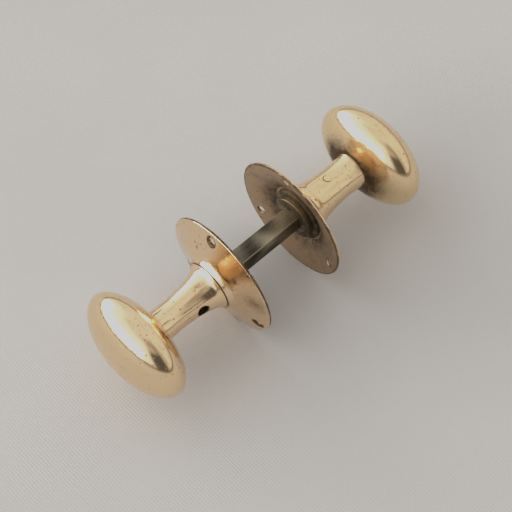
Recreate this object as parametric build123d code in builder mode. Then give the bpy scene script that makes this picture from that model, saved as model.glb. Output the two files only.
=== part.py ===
"""A pair of oval brass door knobs on a square spindle, with their roses.

Frame: X runs along the spindle, from the left knob to the right knob. The origin is on the
spindle's axis, in the middle of the door. Y is level across the door, Z is up. Millimetres.

Every piece of one side is drawn on the right, where outward is +X, and mirrored for the left.
An axial place is counted outward from the back plane of that side's rose.
"""

import os
from math import cos, radians, sin, tan

from build123d import *

# ---- Door and spindle ----
DOOR = 38.1  # door thickness between the backs of the roses, 1 1/2 in
SPINDLE_SIDE = 7.94  # 5/16 in square bar
SPINDLE_LENGTH = 101.6  # 4 in
SPINDLE_CHAMFER = 0.8
SOCKET_SIDE = SPINDLE_SIDE + 0.16  # sliding fit on the spindle

# ---- Rose ----
ROSE_RADIUS = 29.25
ROSE_RIM = 1.3  # thickness of the plate's edge
ROSE_LAND = 1.05  # width of the ring that rests on the door
ROSE_SLOPE = 15.6  # degrees that the outer part of the plate is dished
RIM_ROUNDING = 0.4
LIP_RADIUS = 11.95  # raised lip that meets the neck
LIP_HEIGHT = 8.2
LIP_ROUNDING = 0.25
LIP_DIRECTION = (-0.72, 0.69)  # axial and radial, leaving the lip
ROSE_FLARE = ((6.3, 13.75), (5.28, 15.6), (4.3, 18.5))  # front of the plate between lip and rim
ROSE_HOLLOW = (2.8, 18.5)  # back of the plate between land and hub
HUB_DIRECTION = (0.6, -0.8)  # axial and radial, reaching the hub
HUB_HEIGHT = 5.15  # inner face of the hub, above the back plane
HUB_RADIUS = 13.6
SCREW_CIRCLE = 50.0
SCREW_COUNT = 3
SCREW_HOLE_RADIUS = 1.9
COUNTERSINK_RADIUS = 2.6
COUNTERSINK_DEPTH = 0.5
SCREW_ANGLE = 86.0  # of the first hole on both roses, from +Y towards +Z

# ---- Neck ----
AXIAL_PLAY = 0.1  # between rose and neck, and between rose and washer
RADIAL_PLAY = 0.05  # between rose and neck
JOURNAL_RADIUS = 9.05  # turns in the rose
SPIGOT_RADIUS = 7.5  # carries washer and collar
NECK_BASE_RADIUS = 11.85
LEFT_WAIST_RADIUS = 6.95
RIGHT_WAIST_RADIUS = 7.95
# Axial place and radius over the waist of the points that the neck's flare passes
NECK_FLARE = ((10.5, 2.85), (12.5, 2.0), (15.0, 1.3), (18.5, 0.7), (24.0, 0.15), (29.0, 0.0), (33.0, 0.2))
NECK_END = 37.3
NECK_START_DIRECTION = (0.69, -0.72)  # axial and radial, leaving the rose
NECK_END_DIRECTION = (0.95, 0.31)  # axial and radial, entering the head
NECK_END_SWELL = 0.85  # radius over the waist where the neck enters the head
SOCKET_END = 35.3
TENON_RADIUS = 5.0
TENON_LENGTH = 7.0

# ---- Washer and collar ----
WASHER_RADIUS = 12.8
WASHER_THICKNESS = 1.3
WASHER_EDGE = 0.2  # edge rounding
COLLAR_RADIUS = 10.2
COLLAR_THICKNESS = 2.6
COLLAR_EDGE = 0.5
FIT = 0.02  # play between pieces that are fixed together

# ---- Head ----
HEAD_CENTRE = 47.8  # axial place of the widest section
HEAD_HALF_LENGTH = 27.5  # across the door
HEAD_HALF_HEIGHT = 22.9
HEAD_FRONT_DEPTH = 13.4
HEAD_BACK_DEPTH = 11.8
HEAD_WALL = 2.2
BOSS_RADIUS = 9.6  # inner boss round the tenon

# ---- Grub screw and cross pin ----
GRUB_PLACE = 18.0
GRUB_RADIUS = 2.55
GRUB_PLAY = 0.05
GRUB_CHAMFER = 0.3
GRUB_LENGTH = 2.6
GRUB_GAP = 0.03  # between the screw's tip and the spindle
SLOT_WIDTH = 0.9
SLOT_DEPTH = 0.9
PIN_PLACE = 22.6
PIN_RADIUS = 1.75

BACK = DOOR / 2  # the right rose's back plane
SOCKET_START = HUB_HEIGHT - AXIAL_PLAY - WASHER_THICKNESS - COLLAR_THICKNESS
FAR = 40.0  # longer than any cut needs


def across(place, direction):
    """A plane through the axis at an axial place, facing across the spindle."""
    return Plane(origin=(BACK + place, 0, 0), x_dir=(1, 0, 0), z_dir=direction)


def mirrored(piece, side):
    """Turn a piece drawn on the right into the left one when side is -1."""
    if side > 0:
        return piece
    with BuildPart() as other:
        add(piece.part)
        mirror(about=Plane.YZ, mode=Mode.REPLACE)
    return other


def save(piece, name):
    piece.part.label = name
    export_step(piece.part, f"parts/{name}.step")


def make_spindle():
    """The square bar, with the hole for the cross pin near its right end."""
    with BuildPart() as spindle:
        with BuildSketch(Plane.YZ.offset(-SPINDLE_LENGTH / 2)):
            Rectangle(SPINDLE_SIDE, SPINDLE_SIDE)
        extrude(amount=SPINDLE_LENGTH)
        ends = spindle.faces().filter_by(Axis.X)
        chamfer(ends.edges(), length=SPINDLE_CHAMFER)
        with BuildSketch(across(PIN_PLACE, (0, 0, 1))):
            Circle(PIN_RADIUS + FIT)
        extrude(amount=SPINDLE_SIDE, both=True, mode=Mode.SUBTRACT)
    return spindle


def countersunk_hole(turn):
    """Cut one screw hole of the rose, with its countersink square to the dished plate."""
    turn = radians(turn)
    slope = radians(ROSE_SLOPE)
    radial = Vector(0, cos(turn), sin(turn))
    rise = (ROSE_RADIUS - SCREW_CIRCLE / 2) * tan(slope)
    seat = Vector(BACK + ROSE_RIM + rise, 0, 0) + radial * (SCREW_CIRCLE / 2)
    with Locations(Plane(origin=seat, z_dir=(1, 0, 0))):
        Cylinder(SCREW_HOLE_RADIUS, height=FAR, mode=Mode.SUBTRACT)
    with Locations(Plane(origin=seat, z_dir=Vector(cos(slope), 0, 0) + radial * sin(slope))):
        Cone(
            bottom_radius=SCREW_HOLE_RADIUS,
            top_radius=COUNTERSINK_RADIUS,
            height=COUNTERSINK_DEPTH,
            align=(Align.CENTER, Align.CENTER, Align.MAX),
            mode=Mode.SUBTRACT,
        )


def make_rose(side):
    """A dished plate that flares up to a lip round the neck, hollow behind."""
    slope = radians(ROSE_SLOPE)
    dish = (-sin(slope), cos(slope))  # direction of the plate's dish, towards the rim
    rim = (BACK + ROSE_RIM, ROSE_RADIUS)
    lip = (BACK + LIP_HEIGHT, LIP_RADIUS)
    hub = (BACK + HUB_HEIGHT, HUB_RADIUS)
    land = (BACK, ROSE_RADIUS - ROSE_LAND)
    bore = JOURNAL_RADIUS + RADIAL_PLAY
    flare = [(BACK + place, radius) for place, radius in ROSE_FLARE]
    hollow = (BACK + ROSE_HOLLOW[0], ROSE_HOLLOW[1])
    with BuildPart() as rose:
        with BuildSketch(Plane.XY) as section:
            with BuildLine():
                Spline(lip, *flare, rim, tangents=[LIP_DIRECTION, dish])
                Polyline(rim, (BACK, ROSE_RADIUS), land)
                Spline(land, hollow, hub, tangents=[(sin(slope), -cos(slope)), HUB_DIRECTION])
                Polyline(hub, (hub[0], bore), (lip[0], bore), lip)
            make_face()
            fillet(section.vertices().group_by(Axis.Y)[-1], radius=RIM_ROUNDING)
            fillet(section.vertices().sort_by_distance(lip)[0], radius=LIP_ROUNDING)
        revolve(axis=Axis.X)
        for index in range(SCREW_COUNT):
            countersunk_hole(SCREW_ANGLE + index * 360 / SCREW_COUNT)
    return mirrored(rose, side)


def neck_outline(waist):
    """The flared outside of the neck, as the points from the rose to the head."""
    flare = [(BACK + place, waist + swell) for place, swell in NECK_FLARE]
    start = (BACK + LIP_HEIGHT + AXIAL_PLAY, NECK_BASE_RADIUS)
    end = (BACK + NECK_END, waist + NECK_END_SWELL)
    return [start, *flare, end]


def neck_blank(waist):
    """The neck before its holes: spigot, journal, flared shank and tenon, turned in one."""
    outline = neck_outline(waist)
    start, end = outline[0], outline[-1]
    shoulder = BACK + HUB_HEIGHT - AXIAL_PLAY
    spigot_end = BACK + SOCKET_START
    tenon_end = end[0] + TENON_LENGTH
    with BuildPart() as blank:
        with BuildSketch(Plane.XY):
            with BuildLine():
                Polyline(
                    (spigot_end, 0),
                    (spigot_end, SPIGOT_RADIUS),
                    (shoulder, SPIGOT_RADIUS),
                    (shoulder, JOURNAL_RADIUS),
                    (start[0], JOURNAL_RADIUS),
                    start,
                )
                Spline(*outline, tangents=[NECK_START_DIRECTION, NECK_END_DIRECTION])
                Polyline(
                    end,
                    (end[0], TENON_RADIUS),
                    (tenon_end, TENON_RADIUS),
                    (tenon_end, 0),
                    (spigot_end, 0),
                )
            make_face()
        revolve(axis=Axis.X)
    return blank


def make_neck(side, waist, hole_place, hole_radius, hole_direction, through):
    """The neck, with its square socket and the cross hole for a grub screw or a pin."""
    blank = neck_blank(waist)
    with BuildPart() as neck:
        add(blank.part)
        with BuildSketch(Plane.YZ.offset(BACK + SOCKET_START)):
            Rectangle(SOCKET_SIDE, SOCKET_SIDE)
        extrude(amount=SOCKET_END - SOCKET_START, mode=Mode.SUBTRACT)
        with BuildSketch(across(hole_place, hole_direction)):
            Circle(hole_radius)
        extrude(amount=FAR, both=through, mode=Mode.SUBTRACT)
    return mirrored(neck, side)


def make_ring(side, outer, inner, start, thickness, edge):
    """A flat ring on the neck's spigot: the washer or the collar."""
    with BuildPart() as ring:
        with BuildSketch(Plane.YZ.offset(BACK + start)):
            Circle(outer)
            Circle(inner, mode=Mode.SUBTRACT)
        extrude(amount=thickness)
        rim = ring.faces().filter_by(Axis.X).sort_by(Axis.X)[0].outer_wire().edges()
        fillet(rim, radius=edge)
    return mirrored(ring, side)


def oval(front, back, half_length):
    """A closed egg shape about the head's centre, round in every section along the axis."""
    centre = BACK + HEAD_CENTRE
    with BuildPart() as egg:
        with BuildSketch(Plane.XY):
            with BuildLine():
                EllipticalCenterArc((centre, 0), front, half_length, start_angle=0, arc_size=90)
                EllipticalCenterArc((centre, 0), back, half_length, start_angle=90, arc_size=90)
                Line((centre - back, 0), (centre + front, 0))
            make_face()
        revolve(axis=Axis.X)
    return egg


def make_head(side, waist):
    """The hollow oval head, with an inner boss for the tenon and a seat for the neck."""
    squash = HEAD_HALF_HEIGHT / HEAD_HALF_LENGTH
    outside = oval(HEAD_FRONT_DEPTH, HEAD_BACK_DEPTH, HEAD_HALF_LENGTH)
    inside = oval(
        HEAD_FRONT_DEPTH - HEAD_WALL,
        HEAD_BACK_DEPTH - HEAD_WALL,
        HEAD_HALF_LENGTH - HEAD_WALL / squash,
    )
    seat_radius = waist + NECK_END_SWELL + FIT
    with BuildPart() as boss:
        with BuildSketch(Plane.YZ.offset(BACK + NECK_END)):
            Circle(BOSS_RADIUS)
        extrude(amount=TENON_LENGTH)
    with BuildPart() as head:
        add(scale(outside.part, by=(1, 1, squash), mode=Mode.PRIVATE))
        add(scale(inside.part, by=(1, 1, squash), mode=Mode.PRIVATE), mode=Mode.SUBTRACT)
        add(boss.part)
        with BuildSketch(Plane.YZ.offset(BACK + NECK_END)):
            Circle(seat_radius)
        extrude(amount=-FAR, mode=Mode.SUBTRACT)
        with BuildSketch(Plane.YZ.offset(BACK + NECK_END)):
            Circle(TENON_RADIUS + FIT)
        extrude(amount=TENON_LENGTH, mode=Mode.SUBTRACT)
    return mirrored(head, side)


def make_grub_screw():
    """The slotted grub screw in the left neck; its flat tip bears on the spindle."""
    tip = SPINDLE_SIDE / 2 + GRUB_GAP
    plane = Plane(origin=(-BACK - GRUB_PLACE, -tip, 0), x_dir=(1, 0, 0), z_dir=(0, -1, 0))
    with BuildPart() as screw:
        with BuildSketch(plane):
            Circle(GRUB_RADIUS)
        extrude(amount=GRUB_LENGTH)
        chamfer(screw.faces().filter_by(Axis.Y).edges(), length=GRUB_CHAMFER)
        with BuildSketch(plane.offset(GRUB_LENGTH)):
            Rectangle(4 * GRUB_RADIUS, SLOT_WIDTH)
        extrude(amount=-SLOT_DEPTH, mode=Mode.SUBTRACT)
    return screw


def make_cross_pin():
    """The pin through the right neck and the spindle, finished flush with the neck."""
    with BuildPart() as pin:
        with BuildSketch(across(PIN_PLACE, (0, 0, 1))):
            Circle(PIN_RADIUS)
        extrude(amount=FAR, both=True)
        add(neck_blank(RIGHT_WAIST_RADIUS).part, mode=Mode.INTERSECT)
    return pin


def main():
    os.makedirs("parts", exist_ok=True)
    save(make_spindle(), "spindle")
    save(make_grub_screw(), "grub_screw")
    save(make_cross_pin(), "cross_pin")
    grub_hole = GRUB_RADIUS + GRUB_PLAY
    save(make_neck(-1, LEFT_WAIST_RADIUS, GRUB_PLACE, grub_hole, (0, -1, 0), False), "left_neck")
    save(make_neck(1, RIGHT_WAIST_RADIUS, PIN_PLACE, PIN_RADIUS + FIT, (0, 0, 1), True), "right_neck")
    sides = (("left", -1, LEFT_WAIST_RADIUS), ("right", 1, RIGHT_WAIST_RADIUS))
    washer_start = SOCKET_START + COLLAR_THICKNESS
    bore = SPIGOT_RADIUS + FIT
    for name, side, waist in sides:
        save(make_rose(side), f"{name}_rose")
        save(make_head(side, waist), f"{name}_head")
        washer = make_ring(side, WASHER_RADIUS, bore, washer_start, WASHER_THICKNESS, WASHER_EDGE)
        save(washer, f"{name}_washer")
        collar = make_ring(side, COLLAR_RADIUS, bore, SOCKET_START, COLLAR_THICKNESS, COLLAR_EDGE)
        save(collar, f"{name}_collar")


main()
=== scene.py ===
"""Looks for a pair of oval brass door knobs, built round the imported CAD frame.

Row frame: X along the spindle, Y level across the door, Z up, metres. Profiles are listed in
millimetres as (place, radius): place is counted outward from the back of that side's rose.
"""

import itertools
import math
import random

import bmesh
import bpy
import numpy as np
from mathutils import Matrix, Vector, noise
from mathutils.bvhtree import BVHTree
from mathutils.interpolate import poly_3d_calc


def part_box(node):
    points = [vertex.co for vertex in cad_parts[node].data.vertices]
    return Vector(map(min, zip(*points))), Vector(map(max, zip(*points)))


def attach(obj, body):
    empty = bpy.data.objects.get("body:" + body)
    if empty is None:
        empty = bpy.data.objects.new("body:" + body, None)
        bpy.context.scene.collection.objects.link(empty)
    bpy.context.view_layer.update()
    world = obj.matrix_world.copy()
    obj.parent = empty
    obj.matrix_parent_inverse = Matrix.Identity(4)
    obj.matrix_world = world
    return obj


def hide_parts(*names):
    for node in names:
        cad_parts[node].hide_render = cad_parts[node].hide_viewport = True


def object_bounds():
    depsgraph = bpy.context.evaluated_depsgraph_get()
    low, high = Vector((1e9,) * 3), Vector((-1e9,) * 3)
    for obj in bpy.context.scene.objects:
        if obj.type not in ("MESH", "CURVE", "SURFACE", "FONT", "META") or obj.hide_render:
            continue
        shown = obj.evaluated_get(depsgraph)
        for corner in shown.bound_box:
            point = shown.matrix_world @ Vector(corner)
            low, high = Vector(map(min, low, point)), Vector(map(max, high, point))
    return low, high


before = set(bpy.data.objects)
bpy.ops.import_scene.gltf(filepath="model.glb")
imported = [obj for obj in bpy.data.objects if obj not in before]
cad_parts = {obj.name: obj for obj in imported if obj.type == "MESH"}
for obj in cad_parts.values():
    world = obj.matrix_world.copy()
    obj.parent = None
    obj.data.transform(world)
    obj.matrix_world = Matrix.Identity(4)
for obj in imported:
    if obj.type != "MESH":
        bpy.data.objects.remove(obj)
CAD_BOX = [list(corner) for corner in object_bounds()]
MM = 0.001
SIDES = {"left": -1, "right": 1}
# How far each rose's back is from the middle of the door, in mm
BACK = {"left": -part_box("left_rose")[1].x / MM, "right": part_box("right_rose")[0].x / MM}

# ---- Shape, in millimetres ----
ROSE_RADIUS = 29.25
ROSE_RIM = 1.3
ROSE_SLOPE = math.radians(15.6)
ROSE_DISH = (-math.sin(ROSE_SLOPE), math.cos(ROSE_SLOPE))
ROSE_FRONT = ((8.2, 11.95), (6.3, 13.75), (5.28, 15.6), (4.3, 18.5), (ROSE_RIM, ROSE_RADIUS))
ROSE_BACK = ((0.0, 28.2), (2.8, 18.5), (5.15, 13.6))
LIP_DIRECTION = (-0.72, 0.69)
HUB_DIRECTION = (0.6, -0.8)
ROSE_BORE = 9.1
RIM_ROUNDING = 0.4
LIP_ROUNDING = 0.3
SCREW_CIRCLE_RADIUS = 25.0
SCREW_ANGLES = (86.0, 206.0, 326.0)
SCREW_HOLE_RADIUS = 1.9
COUNTERSINK_RADIUS = 2.6
COUNTERSINK_DEPTH = 0.5
COUNTERSINK = (
    (-COUNTERSINK_DEPTH, SCREW_HOLE_RADIUS),
    (-0.14, COUNTERSINK_RADIUS - 0.14),
    (-0.05, COUNTERSINK_RADIUS + 0.02),
    (0.3, COUNTERSINK_RADIUS + 0.75),
)
WAIST = {"left": 6.95, "right": 7.95}
NECK_BASE = (8.3, 11.85)
NECK_BASE_ROUNDING = 0.3
NECK_START_DIRECTION = (0.69, -0.72)
NECK_FLARE = ((10.5, 2.85), (12.5, 2.0), (15.0, 1.3), (18.5, 0.7), (24.0, 0.15), (29.0, 0.0), (33.0, 0.2))
NECK_END = 37.3
NECK_END_SWELL = 0.85
NECK_END_DIRECTION = (0.95, 0.31)
NECK_SINK = 0.8
JOURNAL_RADIUS = 9.05
SHOULDER = 5.05
SPIGOT_RADIUS = 7.5
SPIGOT_START = 1.15
SOCKET_SIDE = 8.1
SOCKET_END = 35.3
GRUB_PLACE = 18.0
GRUB_HOLE_RADIUS = 2.6
# Mouths of the cross holes: (rise, widening) about the neck's surface
GRUB_MOUTH = ((-0.45, 0.0), (-0.12, 0.08), (0.1, 0.22), (0.6, 0.7))
GRUB_MOUTH_SWELL = 0.75
PIN_PLACE = 22.6
PIN_HOLE_RADIUS = 1.77
PIN_MOUTH = ((-0.3, 0.0), (0.0, 0.14), (1.0, 0.3))
PIN_MOUTH_SWELL = 0.28
HEAD_FRONT_DEPTH = 13.4
HEAD_BACK_DEPTH = 11.8
SPINDLE_SIDE = 7.94
SPINDLE_END_STEPS = (0.8, 0.32, 0.05)  # how far the sides step in on the last rings of each end
SPINDLE_EDGE = (0.38, 0.22)  # the worn long edges' radius, and how much it wanders
WASHER_RADIUS = 12.8
WASHER_START = 3.75
WASHER_ROUNDING = 0.25
COLLAR_RADIUS = 10.2
COLLAR_ROUNDING = 0.5
RING_BORE = SPIGOT_RADIUS + 0.02
RING_BACK_ROUNDING = 0.15

# ---- Fineness of the meshes ----
ROSE_STEPS = 512
NECK_STEPS = 256
RING_STEPS = 192
HEAD_STEPS = 112
SPINDLE_RINGS = 170
SPINDLE_CORNER_STEPS = 6

# ---- Wear: places, sizes and depths in millimetres, angles in degrees, dirt from 0 to 1 ----
# How dirty each head is round its neck
PATINA = {"left": 0.5, "right": 0.85}
# Nicks in a rose's rim: angle, width and depth
NICKS = {
    "left": ((131.0, 0.5, 0.22), (213.0, 0.35, 0.15), (280.0, 0.4, 0.12), (20.0, 0.5, 0.16)),
    "right": (
        (95.0, 0.6, 0.35), (352.0, 0.45, 0.3), (41.0, 0.4, 0.18), (250.0, 0.5, 0.15), (170.0, 0.5, 0.12),
    ),
}
# Stains on a rose's front: y, z, size in mm and how dirty
STAINS = {
    "left": (
        (9.6, 14.8, 0.9, 0.8), (7.4, 18.6, 0.7, 0.8), (11.4, 16.4, 0.8, 0.7), (9.3, 17.2, 0.6, 0.9),
        (-12.8, 13.1, 1.8, 0.95), (-17.0, 21.0, 2.5, 0.5), (-23.0, 5.0, 7.0, 0.6),
    ),
    "right": ((6.0, 20.0, 5.0, 0.4),),
}
# Larger casting pits: the place on the head as (y, z) in mm, on its front (1) or back (-1)
PITS = {
    "left": (
        (12.6, 20.1, 1), (-2.6, 22.6, -1), (-5.6, 22.5, -1), (-7.2, 21.6, -1), (-10.7, 21.2, -1),
        (-9.1, 21.4, 1), (-7.8, 19.9, -1), (-12.7, 20.2, -1), (-8.6, 12.4, 1),
    ),
    "right": (
        (-4.6, 22.4, -1), (-20.8, 9.4, -1), (-21.5, 7.9, -1), (-23.2, 6.6, -1), (-25.0, 5.0, -1),
        (-26.4, 5.8, -1), (-27.3, 1.2, -1), (-26.9, 0.7, -1), (-20.2, 10.2, -1), (-5.9, 21.5, 1),
    ),
}
SMALL_PITS = 60
SMALL_PIT_RADIUS = (0.3, 0.55)
SMALL_PIT_DEPTH = (0.02, 0.08)
PIT_RADIUS = (0.3, 0.52)
PIT_DEPTH = (0.04, 0.12)
PIT_SEED = {"left": 11, "right": 23}

# ---- Metals: clean, dull and soiled colours, the soiled one also used for painted shade ----
ROSY_KNOB = ((0.94, 0.735, 0.49), (0.78, 0.54, 0.27), (0.17, 0.09, 0.04))
OLIVE_KNOB = ((0.93, 0.73, 0.465), (0.66, 0.48, 0.25), (0.12, 0.08, 0.045))
ROSE_FRONT_METAL = ((0.91, 0.695, 0.47), (0.72, 0.52, 0.33), (0.15, 0.09, 0.05))
ROSE_BACK_METAL = ((0.56, 0.41, 0.27), (0.36, 0.26, 0.17), (0.06, 0.047, 0.036))
INNER_METAL = ((0.38, 0.30, 0.185), (0.20, 0.165, 0.105), (0.075, 0.062, 0.042))
SPINDLE_METAL = ((0.032, 0.027, 0.021), (0.47, 0.425, 0.315))
SCREW_METAL = ((0.075, 0.05, 0.035), (0.22, 0.17, 0.12))
STEEL_EDGE_ON = (0.35, 0.32, 0.28)
CLOTH = ((0.590, 0.577, 0.566), (0.612, 0.599, 0.588))

# ---- Studio round the object: directions in degrees ----
# Each patch has a span (low, high, softness) of its bearing and of its height over the horizon.
# A bearing runs from +Y towards +X, and a rear bearing from -Y towards -X.
WINDOW_BEARING = (-100.0, 8.0, 5.0)
WINDOW_HEIGHT = (6.5, 29.0, 2.5)
WINDOW_GLOW = (6.0, 6.0, 6.0)
HAZE_BEARING = (-120.0, 25.0, 15.0)
HAZE_HEIGHT = (4.0, 58.0, 9.0)
HAZE_GLOW = (1.35, 1.36, 1.38)
SCREEN_REAR = (3.0, 52.0, 8.0)
SCREEN_HEIGHT = (-8.0, 42.0, 6.0)
SCREEN_GLOW = (0.17, 0.155, 0.14)
CANOPY_REAR = (-16.0, 52.0, 9.0)
CANOPY_HEIGHT = (16.0, 74.0, 6.0)
CANOPY_GLOW = (0.34, 0.27, 0.20)
SKIRTING_HEIGHT = (-2.0, 5.0, 1.2)
SKIRTING_GLOW = (0.30, 0.25, 0.20)
WALL_GLOW = (1.04, 1.0, 0.95)
CEILING_GLOW = (1.10, 1.07, 1.02)
CLUTTER_GLOW = (0.60, 0.52, 0.42)
BACKDROP = (0.82, 0.80, 0.785)
STUDIO_STRENGTH = 0.64
FLOOR_SIZE = 8.0

# ---- Camera ----
AIM = Vector((-3.6, -3.1, 0.0)) * MM
CAMERA_AZIMUTH = math.radians(-36.3)
CAMERA_ELEVATION = math.radians(57.06)
CAMERA_ROLL = math.radians(-7.55)
CAMERA_DISTANCE = 0.589
LENS = 98.44
SENSOR = 36.0
TONE_CURVE = ((0.1, 0.095), (0.3, 0.3), (0.5, 0.505), (0.6, 0.585))
TONE_WHITE = 0.615


# ---------------------------------------------------------------- profiles and meshes
def clamped_spline(points, first, last, steps):
    """Points along the cubic spline through points, with the given end directions."""
    p = np.array(points, float)
    chord = np.linalg.norm(np.diff(p, axis=0), axis=1)
    count = len(p)
    rows = np.zeros((count, count))
    goal = np.zeros((count, 2))
    rows[0, 0] = rows[-1, -1] = 1
    goal[0] = np.array(first) / np.linalg.norm(first)
    goal[-1] = np.array(last) / np.linalg.norm(last)
    for i in range(1, count - 1):
        before, after = chord[i - 1], chord[i]
        rows[i, i - 1 : i + 2] = 1 / before, 2 / before + 2 / after, 1 / after
        goal[i] = 3 * ((p[i] - p[i - 1]) / before**2 + (p[i + 1] - p[i]) / after**2)
    slope = np.linalg.solve(rows, goal)
    out = []
    for i in range(count - 1):
        h = chord[i]
        for s in np.arange(steps) / steps:
            out.append(
                (2 * s**3 - 3 * s**2 + 1) * p[i]
                + (s**3 - 2 * s**2 + s) * h * slope[i]
                + (3 * s**2 - 2 * s**3) * p[i + 1]
                + (s**3 - s**2) * h * slope[i + 1]
            )
    return [*out, p[-1]]


def rounded(path, corner, radius, steps=6):
    """The path with its corner point replaced by an arc."""
    path = [np.array(q, float) for q in path]
    i = min(range(len(path)), key=lambda k: np.linalg.norm(path[k] - np.array(corner)))
    at = path[i]
    before, after = i - 1, i + 1
    while np.linalg.norm(path[before] - at) < radius:
        before -= 1
    while np.linalg.norm(path[after % len(path)] - at) < radius:
        after += 1
    v = path[before] - at
    w = path[after % len(path)] - at
    v, w = v / np.linalg.norm(v), w / np.linalg.norm(w)
    half = math.acos(max(-1, min(1, float(v @ w)))) / 2
    reach = radius / math.tan(half)
    centre = at + (v + w) / np.linalg.norm(v + w) * radius / math.sin(half)
    start, end = at + v * reach - centre, at + w * reach - centre
    sweep = math.pi - 2 * half
    arc = []
    for k in range(steps + 1):
        s = k / steps
        arc.append(centre + (math.sin((1 - s) * sweep) * start + math.sin(s * sweep) * end) / math.sin(sweep))
    return path[: before + 1] + arc + path[after:]


def revolve(name, path, back, side, steps, loop=False):
    """Turn a (place, radius) path about the spindle's axis into a closed mesh."""
    verts, rings = [], []
    for place, radius in path:
        x = side * (back + place) * MM
        if radius < 1e-6:
            rings.append([len(verts)])
            verts.append((x, 0, 0))
            continue
        rings.append(range(len(verts), len(verts) + steps))
        for k in range(steps):
            turn = 2 * math.pi * k / steps
            verts.append((x, radius * math.cos(turn) * MM, radius * math.sin(turn) * MM))
    pairs = list(zip(rings, rings[1:]))
    if loop:
        pairs.append((rings[-1], rings[0]))
    faces = []
    for a, b in pairs:
        for k in range(steps):
            n = (k + 1) % steps
            if len(a) == 1:
                faces.append((a[0], b[k], b[n]))
            elif len(b) == 1:
                faces.append((a[k], b[0], a[n]))
            else:
                faces.append((a[k], b[k], b[n], a[n]))
    return mesh_object(name, verts, faces)


def mesh_object(name, verts, faces):
    """A linked, smooth-shaded object with its faces turned outward."""
    mesh = bpy.data.meshes.new(name)
    mesh.from_pydata([tuple(v) for v in verts], [], faces)
    turned = bmesh.new()
    turned.from_mesh(mesh)
    bmesh.ops.recalc_face_normals(turned, faces=turned.faces)
    turned.to_mesh(mesh)
    turned.free()
    piece = bpy.data.objects.new(name, mesh)
    bpy.context.scene.collection.objects.link(piece)
    smooth(piece)
    return piece


def smooth(piece, angle=35):
    """Shade smooth, but keep edges sharper than the angle in degrees."""
    mesh = piece.data
    mesh.polygons.foreach_set("use_smooth", [True] * len(mesh.polygons))
    mesh.set_sharp_from_angle(angle=math.radians(angle))
    mesh.update()


def press(piece, depth_at):
    """Move each vertex inward along its normal by depth_at(place) metres."""
    mesh = piece.data
    moved = [v.co - v.normal * depth_at(v.co) for v in mesh.vertices]
    for v, co in zip(mesh.vertices, moved):
        v.co = co
    mesh.update()


def waves(co, depth, scale, shift=0.0):
    """The slow unevenness of a worn casting, from 0 to twice the depth."""
    return depth * (noise.noise(co / MM * scale + Vector((shift, 0, 0))) + 1)


def cut(piece, cutters):
    """Subtract the cutters and keep the uncut surface's smooth normals round the holes."""
    before = piece.data
    source = BVHTree.FromPolygons([v.co for v in before.vertices], [p.vertices for p in before.polygons])
    corners = [n.vector.copy() for n in before.corner_normals]
    for cutter in cutters:
        step = piece.modifiers.new("cut", "BOOLEAN")
        step.object = cutter
        step.solver = "EXACT"
    evaluated = piece.evaluated_get(bpy.context.evaluated_depsgraph_get())
    after = bpy.data.meshes.new_from_object(evaluated)
    piece.modifiers.clear()
    normals = []
    for face in after.polygons:
        middle = face.center
        for v in face.vertices:
            at = after.vertices[v].co.lerp(middle, 0.02)
            hit, _, index, gap = source.find_nearest(at)
            old = before.polygons[index]
            weights = poly_3d_calc([before.vertices[i].co for i in old.vertices], hit)
            normal = sum((w * corners[c] for w, c in zip(weights, old.loop_indices)), Vector())
            normal.normalize()
            kept = gap < 0.01 * MM and normal.dot(face.normal) > 0.6
            normals.append(normal if kept else face.normal.copy())
    after.polygons.foreach_set("use_smooth", [True] * len(after.polygons))
    after.normals_split_custom_set([tuple(n) for n in normals])
    piece.data = after
    bpy.data.meshes.remove(before)
    for cutter in cutters:
        bpy.data.objects.remove(cutter)


def paint(piece, name, amount_at):
    """Store a 0 to 1 amount on each vertex for the material to read."""
    layer = piece.data.attributes.new(name, "FLOAT", "POINT")
    values = [max(0.0, min(1.0, amount_at(v.co))) for v in piece.data.vertices]
    layer.data.foreach_set("value", values)


def bell(distance, width):
    """1 at no distance, falling smoothly to nearly 0 at twice the width."""
    return math.exp(-((distance / width) ** 2))


def place_of(co, name):
    """(place outward from the rose's back, radius, angle) of a point, in mm and degrees."""
    return (
        abs(co.x) / MM - BACK[name],
        math.hypot(co.y, co.z) / MM,
        math.degrees(math.atan2(co.z, co.y)) % 360,
    )


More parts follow.
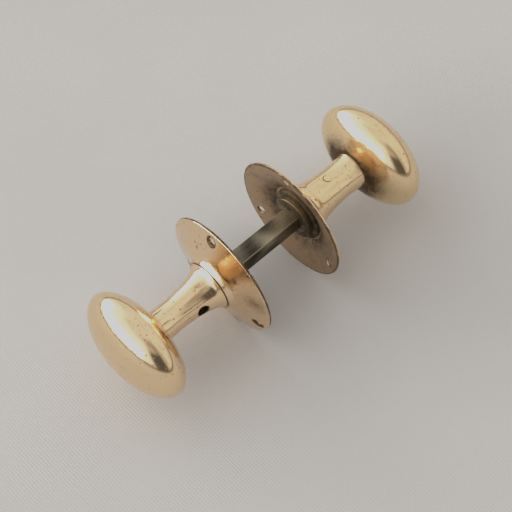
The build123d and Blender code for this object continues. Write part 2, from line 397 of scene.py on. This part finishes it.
# ---------------------------------------------------------------- materials
class Nodes:
    """A short way to add and join shader nodes."""

    def __init__(self, tree):
        self.tree = tree

    def add(self, kind, inputs=(), **settings):
        """A node with its inputs set to values or joined to sockets, and its properties set."""
        node = self.tree.nodes.new(kind)
        for key, value in settings.items():
            setattr(node, key, value)
        for key, value in dict(inputs).items():
            socket = node.inputs[key]
            if isinstance(value, bpy.types.NodeSocket):
                self.tree.links.new(value, socket)
            else:
                socket.default_value = value
        return node

    def math(self, operation, *values):
        """One Math node's result."""
        return self.add("ShaderNodeMath", enumerate(values), operation=operation).outputs[0]

    def ramp(self, value, low, high, start=0.0, end=1.0):
        """value from low to high becomes start to end, smoothly."""
        inputs = {"Value": value, "From Min": low, "From Max": high, "To Min": start, "To Max": end}
        return self.add("ShaderNodeMapRange", inputs, interpolation_type="SMOOTHSTEP").outputs["Result"]

    def band(self, value, low, high, soft):
        """1 where value is between low and high, 0 outside, with soft edges."""
        rising = self.ramp(value, low - soft, low + soft)
        falling = self.ramp(value, high - soft, high + soft, 1.0, 0.0)
        return self.math("MULTIPLY", rising, falling)

    def noise(self, vector, scale, detail=2.0, roughness=0.5, distortion=0.0):
        """Cloudy noise, about 0.5."""
        inputs = {
            "Vector": vector,
            "Scale": scale,
            "Detail": detail,
            "Roughness": roughness,
            "Distortion": distortion,
        }
        return self.add("ShaderNodeTexNoise", inputs).outputs[0]

    def mix(self, amount, first, second):
        """Mix two colours."""
        node = self.add("ShaderNodeMix", data_type="RGBA")
        for socket, value in ((node.inputs[0], amount), (node.inputs[6], first), (node.inputs[7], second)):
            if isinstance(value, bpy.types.NodeSocket):
                self.tree.links.new(value, socket)
            else:
                socket.default_value = value if isinstance(value, (int, float)) else (*value, 1.0)
        return node.outputs[2]

    def stretched(self, vector, scale, turn):
        """The vector turned and scaled along its axes."""
        return self.add("ShaderNodeMapping", {"Vector": vector, "Rotation": turn, "Scale": scale}).outputs[0]

    def bump(self, height, distance, strength=1.0, normal=None):
        """A normal bent by height times distance, on top of another normal."""
        inputs = {"Height": height, "Distance": distance, "Strength": strength}
        if normal is not None:
            inputs["Normal"] = normal
        return self.add("ShaderNodeBump", inputs).outputs[0]


def new_material(name):
    """An empty node material and the way to add its nodes."""
    material = bpy.data.materials.new(name)
    material.use_nodes = True
    material.node_tree.nodes.clear()
    return material, Nodes(material.node_tree)


def shader(n, colour, roughness, normal, metallic, tint=(1.0, 1.0, 1.0)):
    """One Principled surface. tint is the colour of a metal seen edge on."""
    surface = n.add(
        "ShaderNodeBsdfPrincipled",
        {
            "Base Color": colour,
            "Roughness": roughness,
            "Normal": normal,
            "Metallic": metallic,
            "Specular Tint": (*tint, 1.0),
        },
    )
    n.add("ShaderNodeOutputMaterial", {"Surface": surface.outputs[0]})


def scratches(n, where, turns, fineness):
    """Fine straight scratches in a few directions, 0 to 1."""
    total = None
    for turn in turns:
        line = n.noise(n.stretched(where, (fineness / 45, fineness, fineness), turn), 1.0, 1.0)
        mask = n.band(line, 0.497, 0.503, 0.004)
        total = mask if total is None else n.math("MAXIMUM", total, mask)
    return total


def pits(n, where, scale, share, radius):
    """Round specks in a random share of cells, 0 to 1."""
    cells = n.add("ShaderNodeTexVoronoi", {"Vector": where, "Scale": scale})
    chance = n.add("ShaderNodeSeparateColor", {"Color": cells.outputs["Color"]}).outputs[0]
    chosen = n.math("LESS_THAN", chance, share)
    return n.math("MULTIPLY", chosen, n.ramp(cells.outputs["Distance"], radius * 0.5, radius, 1.0, 0.0))


def brass_material(name, metal, polish, tarnish, speckle):
    """Worn brass. metal holds its clean and dull colours and the dark colour for the dirt in its creases and
    for painted shade, polish is the roughness where it is clean, tarnish how much of the surface is dull, and
    speckle how many casting pits and spots there are."""
    clean, dull, dirt_and_shade_colour = metal
    material, n = new_material(name)
    where = n.add("ShaderNodeTexCoord").outputs["Object"]
    # This attribute holds real dirt in seams, holes and stains, and also painted shade in hollows and on
    # shaded faces; the soiled colour paints both.
    dirt_and_shade = n.add("ShaderNodeAttribute", attribute_name="dirt_and_shade").outputs["Fac"]
    broad = n.noise(where, 55.0, 3.0, 0.55)
    cloudy = n.noise(where, 260.0, 4.0, 0.6, 0.4)
    fine = n.noise(where, 1900.0, 4.0, 0.65)
    turns = ((0.4, 0.2, 0.7), (1.1, 0.5, -0.6), (0.2, 1.3, 2.2), (0.9, -0.4, 1.5))
    lines = scratches(n, where, turns, 2600.0)
    specks = pits(n, where, 640.0, speckle, 0.24)
    dust = pits(n, where, 1150.0, 1.4 * speckle, 0.3)

    spread = n.math("ADD", n.math("MULTIPLY", broad, 0.6), n.math("MULTIPLY", cloudy, 0.4))
    stained = n.ramp(spread, 0.62 - tarnish, 0.82 - tarnish)
    mottle = n.math("MULTIPLY_ADD", n.math("SUBTRACT", cloudy, 0.5), 1.1, 1.0)
    mottle = n.math("MULTIPLY_ADD", n.math("SUBTRACT", fine, 0.5), 1.3, mottle)
    mottled_dirt_and_shade = n.math("MULTIPLY", mottle, dirt_and_shade)
    dirt_and_shade_cover = n.math("MAXIMUM", n.ramp(mottled_dirt_and_shade, 0.2, 1.0), n.math("MULTIPLY", specks, 0.85))
    colour = n.mix(stained, clean, dull)
    colour = n.mix(n.math("MULTIPLY", n.ramp(fine, 0.35, 0.75), 0.1), colour, dull)
    colour = n.mix(n.math("MULTIPLY", dust, 0.6), colour, dirt_and_shade_colour)
    colour = n.mix(dirt_and_shade_cover, colour, dirt_and_shade_colour)

    rough = n.math("MULTIPLY_ADD", stained, 0.16, polish)
    rough = n.math("MULTIPLY_ADD", cloudy, 0.07, rough)
    rough = n.math("MULTIPLY_ADD", lines, 0.10, rough)
    rough = n.math("MULTIPLY_ADD", dirt_and_shade_cover, 0.35, rough)
    normal = n.bump(n.noise(where, 130.0, 1.0), 0.00006)
    normal = n.bump(n.noise(where, 420.0, 2.0), 0.000014, normal=normal)
    normal = n.bump(fine, 0.0000022, normal=normal)
    normal = n.bump(n.math("SUBTRACT", 1.0, lines), 0.0000022, normal=normal)
    normal = n.bump(n.math("SUBTRACT", 1.0, n.math("MAXIMUM", specks, dust)), 0.00006, normal=normal)
    shader(n, colour, rough, normal, 1.0)
    return material


def steel_material(name, metal, polish):
    """Oxidised steel, rubbed bright along its edges. metal holds its dark and bare colours."""
    dark, bare = metal
    material, n = new_material(name)
    where = n.add("ShaderNodeTexCoord").outputs["Object"]
    # On the spindle the edge amount also holds painted light: brighter top and bottom faces and darker sides.
    edge = n.add("ShaderNodeAttribute", attribute_name="edge").outputs["Fac"]
    broad = n.noise(where, 90.0, 3.0, 0.6)
    streaks = n.noise(n.stretched(where, (120.0, 1500.0, 1500.0), (0.0, 0.0, 0.0)), 1.0, 3.0)
    fine = n.noise(where, 1500.0, 5.0, 0.7)
    worn = n.math("MULTIPLY_ADD", n.math("SUBTRACT", n.noise(where, 60.0), 0.5), 0.6, edge)
    rubbed = n.ramp(n.math("MULTIPLY_ADD", n.math("SUBTRACT", fine, 0.5), 0.5, worn), 0.05, 0.95)
    brown = n.mix(n.ramp(broad, 0.35, 0.7), dark, tuple(c * f for c, f in zip(dark, (0.75, 0.65, 0.6))))
    colour = n.mix(n.math("MULTIPLY", n.ramp(streaks, 0.45, 0.7), 0.1), brown, bare)
    colour = n.mix(rubbed, colour, bare)
    rough = n.math("MULTIPLY_ADD", n.ramp(fine, 0.3, 0.7), 0.2, polish)
    normal = n.bump(streaks, 0.00001)
    normal = n.bump(fine, 0.000012, normal=normal)
    shader(n, colour, rough, normal, 0.9, STEEL_EDGE_ON)
    return material


def cloth_material():
    """Plain woven pale cloth for the floor."""
    material, n = new_material("pale_cloth")
    where = n.add("ShaderNodeTexCoord").outputs["Object"]
    threads = {"Vector": where, "Scale": 250.0, "Distortion": 1.6, "Detail": 2.0}
    warp = n.add("ShaderNodeTexWave", threads)
    weft = n.add("ShaderNodeTexWave", threads, bands_direction="Y")
    weave = n.math("MULTIPLY", warp.outputs["Fac"], weft.outputs["Fac"])
    broad = n.noise(where, 9.0, 3.0)
    colour = n.mix(n.ramp(broad, 0.3, 0.7), *CLOTH)
    shader(n, colour, 0.9, n.bump(weave, 0.00009, 0.6), 0.0)
    return material


# ---------------------------------------------------------------- pieces
def finish_piece(piece, body, node, slot, *materials):
    """Give the piece its materials, and put it in its CAD node's place on a body."""
    for material in materials:
        piece.data.materials.append(material)
    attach(piece, body)
    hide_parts(node)


def cylinder_cutter(centre, direction, profile, steps=48):
    """A turned cutter. profile is (height along direction, radius) in mm."""
    path = [(profile[0][0], 0.0), *profile, (profile[-1][0], 0.0)]
    cutter = revolve("cutter", path, 0.0, 1, steps)
    turn = Vector((1, 0, 0)).rotation_difference(Vector(direction)).to_matrix().to_4x4()
    cutter.data.transform(Matrix.Translation(Vector(centre) * MM) @ turn)
    return cutter


def box_cutter(low, high):
    """A square cutter between two corners, in mm."""
    verts = [Vector(corner) * MM for corner in itertools.product(*zip(low, high))]
    faces = [(0, 1, 3, 2), (4, 6, 7, 5), (0, 4, 5, 1), (2, 3, 7, 6), (0, 2, 6, 4), (1, 5, 7, 3)]
    return mesh_object("cutter", verts, faces)


def make_rose(name, front_finish, back_finish):
    """The trumpet-shaped back plate: nicked rim, three countersunk holes, dull back."""
    side, back = SIDES[name], BACK[name]
    front = clamped_spline(ROSE_FRONT, LIP_DIRECTION, ROSE_DISH, 14)
    inside = clamped_spline(ROSE_BACK, (-ROSE_DISH[0], -ROSE_DISH[1]), HUB_DIRECTION, 12)
    hub, lip, rim = ROSE_BACK[-1], ROSE_FRONT[0], ROSE_FRONT[-1]
    path = [*front, (0.0, rim[1]), *inside, (hub[0], ROSE_BORE), (lip[0], ROSE_BORE)]
    path = rounded(path, rim, RIM_ROUNDING)
    path = rounded(path, (0.0, rim[1]), RIM_ROUNDING)
    path = path[::-1]
    path = rounded(path[1:] + path[:1], lip, LIP_ROUNDING)
    rose = revolve(f"{name}_rose_plate", path, back, side, ROSE_STEPS, loop=True)

    def wear(co):
        _, radius, angle = place_of(co, name)
        deep = 0.0
        if radius > ROSE_RADIUS - 1.2:
            for at, width, depth in NICKS[name]:
                apart = abs((angle - at + 180) % 360 - 180) * math.radians(ROSE_RADIUS)
                deep = max(deep, depth * bell(apart, width))
            deep += 0.05 * max(0.0, noise.noise(Vector((angle * 0.5, side * 7.3, 0.0))))
        return (waves(co, 0.035, 0.09) + deep) * MM

    press(rose, wear)
    cutters = []
    for angle in SCREW_ANGLES:
        turn = math.radians(angle)
        radial = Vector((0, math.cos(turn), math.sin(turn)))
        rise = (ROSE_RADIUS - SCREW_CIRCLE_RADIUS) * math.tan(ROSE_SLOPE)
        seat = Vector((side * (back + ROSE_RIM + rise), 0, 0)) + radial * SCREW_CIRCLE_RADIUS
        out = Vector((side * math.cos(ROSE_SLOPE), 0, 0)) + radial * math.sin(ROSE_SLOPE)
        cutters.append(cylinder_cutter(seat, out, COUNTERSINK))
        shaft = [(-10.0, SCREW_HOLE_RADIUS), (10.0, SCREW_HOLE_RADIUS)]
        cutters.append(cylinder_cutter(seat, (side, 0, 0), shaft))
    cut(rose, cutters)

    def dirt_and_shade(co):
        place, radius, _ = place_of(co, name)
        # The seam with the neck, then the countersinks, the stains, the dull back, darker towards the hub
        # partly as dirt and partly as painted shade, and the rim's side made dark
        total = 0.5 * bell(radius - ROSE_FRONT[0][1], 0.5)
        for at in SCREW_ANGLES:
            turn = math.radians(at)
            hole = SCREW_CIRCLE_RADIUS * math.cos(turn), SCREW_CIRCLE_RADIUS * math.sin(turn)
            apart = math.hypot(co.y / MM - hole[0], co.z / MM - hole[1])
            if apart < SCREW_HOLE_RADIUS + 1.5:
                total = max(total, 1.1 * bell(max(0.0, apart - COUNTERSINK_RADIUS), 0.3))
        for y, z, size, amount in STAINS[name]:
            total = max(total, amount * bell(math.hypot(co.y / MM - y, co.z / MM - z), size))
        behind = place < ROSE_RIM + (ROSE_RADIUS - radius) * math.tan(ROSE_SLOPE) - 0.6
        # Painted shade: the back darkens towards the hub, partly dirt and partly the shade of the hollow
        # behind the plate.
        if behind:
            total = 0.22 + 0.5 * bell(max(0.0, radius - 12.0), 8.0)
        if radius > ROSE_RADIUS - 0.5 and place < (1.05 if name == "left" else 0.9):
            total = 0.85
        return total

    paint(rose, "dirt_and_shade", dirt_and_shade)
    finish_piece(rose, f"{name}_plate", f"{name}_rose", "rose_brass", front_finish, back_finish)
    for face in rose.data.polygons:
        inward = face.normal.x * side < -0.15
        radius = math.hypot(face.center.y, face.center.z) / MM
        face.material_index = 1 if inward and radius < ROSE_RADIUS - 0.45 else 0


def make_neck(name, finish):
    """The flared shank with its square socket, and the grub screw's or the pin's hole."""
    side, back, waist = SIDES[name], BACK[name], WAIST[name]
    points = [(place, waist + swell) for place, swell in (*NECK_FLARE, (NECK_END, NECK_END_SWELL))]
    flare = clamped_spline([NECK_BASE, *points], NECK_START_DIRECTION, NECK_END_DIRECTION, 10)
    end = (NECK_END + NECK_SINK, waist + NECK_END_SWELL)
    path = [
        (SPIGOT_START, 0.0),
        (SPIGOT_START, SPIGOT_RADIUS),
        (SHOULDER, SPIGOT_RADIUS),
        (SHOULDER, JOURNAL_RADIUS),
        (NECK_BASE[0], JOURNAL_RADIUS),
        *flare,
        end,
        (end[0], 0.0),
    ]
    path = rounded(path, NECK_BASE, NECK_BASE_ROUNDING)
    neck = revolve(f"{name}_neck_shank", path, back, side, NECK_STEPS)
    press(neck, lambda co: waves(co, 0.03, 0.11) * MM)
    half = SOCKET_SIDE / 2
    start, stop = side * (back + SPIGOT_START - 2), side * (back + SOCKET_END)
    cutters = [box_cutter((min(start, stop), -half, -half), (max(start, stop), half, half))]
    if name == "left":
        at, direction = (side * (back + GRUB_PLACE), 0, 0), (0, -1, 0)
        surface = waist + GRUB_MOUTH_SWELL
        mouth = [(surface + rise, GRUB_HOLE_RADIUS + wider) for rise, wider in GRUB_MOUTH]
        cutters.append(cylinder_cutter(at, direction, [(half - 1.0, GRUB_HOLE_RADIUS), *mouth], 64))
    else:
        at = (side * (back + PIN_PLACE), 0, 0)
        surface = waist + PIN_MOUTH_SWELL
        mouth = [(surface + rise, PIN_HOLE_RADIUS + wider) for rise, wider in PIN_MOUTH]
        for up in (1, -1):
            cutters.append(cylinder_cutter(at, (0, 0, up), [(half - 1.0, PIN_HOLE_RADIUS), *mouth], 64))
    cut(neck, cutters)

    def dirt_and_shade(co):
        place, _, angle = place_of(co, name)
        # The seams with the rose and the head, streaks along the flare, then the cross hole, and on the right
        # neck painted shade along its underside
        total = 0.6 * bell(place - NECK_BASE[0], 0.3) + 0.2 * bell(place - NECK_BASE[0] - 0.5, 1.5)
        total = max(total, 0.55 * bell(min(0.0, place - NECK_END + 0.7), 0.6))
        if name == "left":
            streak = noise.noise(Vector((place * 0.1, angle * 0.14, 4.0)))
            total = max(total, 1.2 * (streak - 0.1)) if place > NECK_BASE[0] + 2 else total
            apart = math.hypot(place - GRUB_PLACE, co.z / MM) if co.y < 0 else 99.0
            total = max(total, 1.2 * bell(max(0.0, apart - GRUB_HOLE_RADIUS), 0.35))
        else:
            apart = math.hypot(place - PIN_PLACE, co.y / MM)
            open_side = max(0.0, min(1.0, 0.5 - (place - PIN_PLACE) / PIN_HOLE_RADIUS))
            total = max(total, 1.3 * open_side * bell(apart - PIN_HOLE_RADIUS - 0.1, 0.22))
            # Painted shade: the right neck darkens towards its underside, standing in for the shadowed cloth
            # it faces.
            total = max(total, 0.5 * max(0.0, min(1.0, 0.3 - co.z / (6 * MM))))
        inside_rose = place < NECK_BASE[0] - 0.2
        return 0.85 if inside_rose else total

    paint(neck, "dirt_and_shade", dirt_and_shade)
    finish_piece(neck, f"{name}_knob", f"{name}_neck", "knob_brass", finish)


def make_ring(name, part, outer, start, stop, rounding, finish):
    """The washer or the collar on the neck's spigot, with worn round edges."""
    path = [(stop, RING_BORE), (start, RING_BORE), (start, outer), (stop, outer)]
    path = rounded(path, (start, outer), rounding)
    path = rounded(path, (stop, outer), RING_BACK_ROUNDING)
    ring = revolve(f"{name}_{part}_ring", path, BACK[name], SIDES[name], RING_STEPS, loop=True)
    press(ring, lambda co: waves(co, 0.04, 0.2) * MM)
    smooth(ring)

    def dirt_and_shade(co):
        place, _, _ = place_of(co, name)
        # Painted shade: the flat end face at start is painted dark as the shaded face; the seam at the back
        # end is dirt.
        return max(0.55 * bell(stop - place, 0.5), 0.62 if place < start + 0.3 else 0.12)

    paint(ring, "dirt_and_shade", dirt_and_shade)
    finish_piece(ring, f"{name}_knob", f"{name}_{part}", "inner_brass", finish)


def cube_sphere(count):
    """Evenly spread unit-sphere points and the quads between them, without poles."""
    steps = np.tan(np.linspace(-1, 1, count + 1) * math.pi / 4)
    a, b = np.meshgrid(steps, steps, indexing="ij")
    one = np.ones_like(a)
    sheets = [(one, a, b), (-one, b, a), (b, one, a), (a, -one, b), (a, b, one), (b, a, -one)]
    points = np.concatenate([np.stack(s, -1).reshape(-1, 3) for s in sheets])
    points /= np.linalg.norm(points, axis=1)[:, None]
    _, first, same = np.unique(np.round(points, 6), axis=0, return_index=True, return_inverse=True)
    same = same.reshape(-1)
    faces = []
    for sheet in range(6):
        base = sheet * (count + 1) ** 2
        for i in range(count):
            for j in range(count):
                k = base + i * (count + 1) + j
                faces.append(tuple(int(same[q]) for q in (k, k + count + 1, k + count + 2, k + 1)))
    return points[first], faces


def make_head(name, ball, finish):
    """The oval knob: flatter behind, softly uneven, with casting pits and dirt by the neck."""
    side = SIDES[name]
    low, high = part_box(f"{name}_head")
    tip = low.x if side < 0 else high.x
    centre = tip - side * HEAD_FRONT_DEPTH * MM
    half_y, half_z = (high.y - low.y) / 2, (high.z - low.z) / 2
    points, faces = ball
    verts = []
    for x, y, z in points:
        depth = HEAD_FRONT_DEPTH if x * side > 0 else HEAD_BACK_DEPTH
        verts.append((centre + x * depth * MM, y * half_y, z * half_z))
    head = mesh_object(f"{name}_head_oval", verts, faces)
    chance = random.Random(PIT_SEED[name])
    holes = []
    for _ in range(SMALL_PITS):
        at = Vector(verts[chance.randrange(len(verts))])
        holes.append((at, chance.uniform(*SMALL_PIT_RADIUS) * MM, chance.uniform(*SMALL_PIT_DEPTH) * MM))
    for y, z, front in PITS[name]:
        share = max(0.0, 1 - (y * MM / half_y) ** 2 - (z * MM / half_z) ** 2) ** 0.5
        depth = HEAD_FRONT_DEPTH if front > 0 else HEAD_BACK_DEPTH
        at = Vector((centre + front * side * depth * share * MM, y * MM, z * MM))
        holes.append((at, chance.uniform(*PIT_RADIUS) * MM, chance.uniform(*PIT_DEPTH) * MM))

    def wear(co):
        depth = waves(co, 0.022, 0.085, side * 3.1) * MM
        for at, radius, deep in holes:
            gap = (co - at).length
            if gap < radius:
                depth += deep * (1 - (gap / radius) ** 2) ** 2
        return depth

    press(head, wear)
    seat_x = side * (BACK[name] + NECK_END)

    def dirt_and_shade(co):
        radius = math.hypot(co.y, co.z) / MM
        away = abs(co.x / MM - seat_x)
        edge = radius - WAIST[name] - NECK_END_SWELL
        total = 0.0
        if away < 6:
            # Dirt round the neck, and darker towards the bottom of the head; it fades up the head and away
            # from the neck
            below = 1.25 - co.z / (22 * MM) + abs(co.y) / (80 * MM)
            below = max(0.12, min(1.2, below))
            total = 0.6 * bell(edge, 1.4) + PATINA[name] * bell(max(0.0, edge), 10.0) * below
        for at, size, deep in holes:
            gap = (co - at).length
            if gap < 1.2 * size:
                total = max(total, 0.75 * min(1.0, deep / (0.11 * MM)) * (1 - (gap / (1.2 * size)) ** 2))
        return total

    paint(head, "dirt_and_shade", dirt_and_shade)
    finish_piece(head, f"{name}_knob", f"{name}_head", "knob_brass", finish)


def make_spindle(finish):
    """The square bar: rounded, slightly worn long edges and chamfered ends."""
    low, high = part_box("spindle")
    length = high.x - low.x
    half = SPINDLE_SIDE / 2
    rings, steps = SPINDLE_RINGS, SPINDLE_CORNER_STEPS
    verts = []
    for i in range(rings + 1):
        x = low.x + length * i / rings
        end = min(i, rings - i)
        shrink = SPINDLE_END_STEPS[end] if end < len(SPINDLE_END_STEPS) else 0.0
        for corner in range(4):
            turn = corner * math.pi / 2
            worn = SPINDLE_EDGE[0] + SPINDLE_EDGE[1] * noise.noise(Vector((x / MM * 0.12, corner * 9.1, 1.7)))
            reach = half - shrink
            for k in range(steps + 1):
                a = turn + math.pi / 2 * k / steps
                y = reach - worn + worn * math.cos(a - turn)
                z = reach - worn + worn * math.sin(a - turn)
                cy, cz = y * math.cos(turn) - z * math.sin(turn), y * math.sin(turn) + z * math.cos(turn)
                verts.append((x, cy * MM, cz * MM))
    around = 4 * (steps + 1)
    faces = [tuple(range(around)), tuple(range(rings * around, (rings + 1) * around))]
    for i in range(rings):
        for k in range(around):
            n = (k + 1) % around
            faces.append((i * around + k, i * around + n, (i + 1) * around + n, (i + 1) * around + k))
    bar = mesh_object("spindle_bar", verts, faces)

    def edge(co):
        corner = min(abs(co.y), abs(co.z)) / MM
        tip = (length / 2 - abs(co.x)) / MM
        # Wear and painted light: the top and bottom faces are rubbed a little brighter and the sides made
        # darker, as lit and shaded faces.
        face_wear_and_light = 0.12 if abs(co.z) > abs(co.y) else -0.2
        return max(face_wear_and_light, 1.0 * bell(half - corner, 0.4), 0.8 * bell(tip, 0.9))

    paint(bar, "edge", edge)
    finish_piece(bar, "right_knob", "spindle", "spindle_steel", finish)


# ---------------------------------------------------------------- floor, light, camera
def make_floor():
    """A pale cloth at the object's lowest point."""
    bpy.ops.mesh.primitive_plane_add(size=FLOOR_SIZE, location=(0, 0, CAD_BOX[0][2]))
    floor = bpy.context.object
    floor.name = "floor"
    floor.data.materials.append(cloth_material())


def make_studio():
    """Soft light from all round, with the window and the darker things that the brass mirrors."""
    world = bpy.data.worlds.new("studio")
    bpy.context.scene.world = world
    world.use_nodes = True
    world.node_tree.nodes.clear()
    n = Nodes(world.node_tree)
    way = n.add("ShaderNodeTexCoord").outputs["Generated"]
    east, north, up = n.add("ShaderNodeSeparateXYZ", {"Vector": way}).outputs
    west, south = n.math("MULTIPLY", east, -1.0), n.math("MULTIPLY", north, -1.0)
    height = n.math("DEGREES", n.math("ARCSINE", up))
    bearing = n.math("DEGREES", n.math("ARCTAN2", east, north))
    rear = n.math("DEGREES", n.math("ARCTAN2", west, south))
    room = n.noise(way, 3.2, 3.0, 0.55, 0.3)
    clutter = n.math("MULTIPLY", n.ramp(room, 0.45, 0.62), 0.28)
    window = n.math("MULTIPLY", n.band(bearing, *WINDOW_BEARING), n.band(height, *WINDOW_HEIGHT))
    haze = n.math("MULTIPLY", n.band(bearing, *HAZE_BEARING), n.band(height, *HAZE_HEIGHT))
    screen = n.math("MULTIPLY", n.band(rear, *SCREEN_REAR), n.band(height, *SCREEN_HEIGHT))
    canopy = n.math("MULTIPLY", n.band(rear, *CANOPY_REAR), n.band(height, *CANOPY_HEIGHT))
    canopy = n.math("MULTIPLY", canopy, n.ramp(room, 0.35, 0.6, 0.75, 0.35))
    glow = n.mix(n.ramp(height, -10.0, 70.0), WALL_GLOW, CEILING_GLOW)
    glow = n.mix(clutter, glow, CLUTTER_GLOW)
    glow = n.mix(haze, glow, HAZE_GLOW)
    glow = n.mix(canopy, glow, CANOPY_GLOW)
    glow = n.mix(screen, glow, SCREEN_GLOW)
    glow = n.mix(n.band(height, *SKIRTING_HEIGHT), glow, SKIRTING_GLOW)
    glow = n.mix(window, glow, WINDOW_GLOW)
    seen = n.add("ShaderNodeLightPath").outputs["Is Camera Ray"]
    glow = n.mix(seen, glow, BACKDROP)
    light = n.add("ShaderNodeBackground", {"Color": glow, "Strength": STUDIO_STRENGTH})
    n.add("ShaderNodeOutputWorld", {"Surface": light.outputs[0]})


def make_camera():
    """A long lens, looking down at the object from its left front."""
    camera = bpy.data.objects.new("camera", bpy.data.cameras.new("camera"))
    bpy.context.scene.collection.objects.link(camera)
    camera.data.sensor_width = SENSOR
    camera.data.lens = LENS
    camera.data.clip_start = 0.01
    away = Vector(
        (
            math.sin(CAMERA_AZIMUTH) * math.cos(CAMERA_ELEVATION),
            -math.cos(CAMERA_AZIMUTH) * math.cos(CAMERA_ELEVATION),
            math.sin(CAMERA_ELEVATION),
        )
    )
    camera.location = AIM + away * CAMERA_DISTANCE
    look = (-away).to_track_quat("-Z", "Y").to_matrix() @ Matrix.Rotation(CAMERA_ROLL, 3, "Z")
    camera.rotation_mode = "QUATERNION"
    camera.rotation_quaternion = look.to_quaternion()
    bpy.context.scene.camera = camera


def set_tone():
    """A soft, slightly faded print: even up to a pale white point."""
    tone = bpy.context.scene.view_settings
    tone.view_transform = "Standard"
    tone.use_curve_mapping = True
    curve = tone.curve_mapping
    curve.extend = "HORIZONTAL"
    for at, level in TONE_CURVE:
        curve.curves[3].points.new(at, level)
    curve.curves[3].points[-1].location = (1.0, TONE_WHITE)
    curve.update()


# ---------------------------------------------------------------- the scene
KNOB_BRASS = {
    "left": brass_material("left_knob_brass", ROSY_KNOB, 0.08, -0.02, 0.12),
    "right": brass_material("right_knob_brass", OLIVE_KNOB, 0.11, 0.0, 0.12),
}
ROSE_FRONT_BRASS = brass_material("rose_brass", ROSE_FRONT_METAL, 0.09, 0.03, 0.13)
ROSE_BACK_BRASS = brass_material("rose_back_brass", ROSE_BACK_METAL, 0.36, 0.12, 0.3)
INNER_BRASS = brass_material("inner_brass", INNER_METAL, 0.30, 0.16, 0.2)
SPINDLE_STEEL = steel_material("spindle_steel", SPINDLE_METAL, 0.3)
SCREW_STEEL = steel_material("screw_steel", SCREW_METAL, 0.36)

make_spindle(SPINDLE_STEEL)
SPHERE = cube_sphere(HEAD_STEPS)
for knob in SIDES:
    make_rose(knob, ROSE_FRONT_BRASS, ROSE_BACK_BRASS)
    make_neck(knob, KNOB_BRASS[knob])
    make_head(knob, SPHERE, KNOB_BRASS[knob])
    make_ring(knob, "washer", WASHER_RADIUS, WASHER_START, SHOULDER, WASHER_ROUNDING, INNER_BRASS)
    make_ring(knob, "collar", COLLAR_RADIUS, SPIGOT_START, WASHER_START, COLLAR_ROUNDING, INNER_BRASS)
for node, finish in (("grub_screw", SCREW_STEEL), ("cross_pin", KNOB_BRASS["right"])):
    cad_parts[node].data.materials.clear()
    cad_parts[node].data.materials.append(finish)
make_floor()
make_studio()
make_camera()
set_tone()
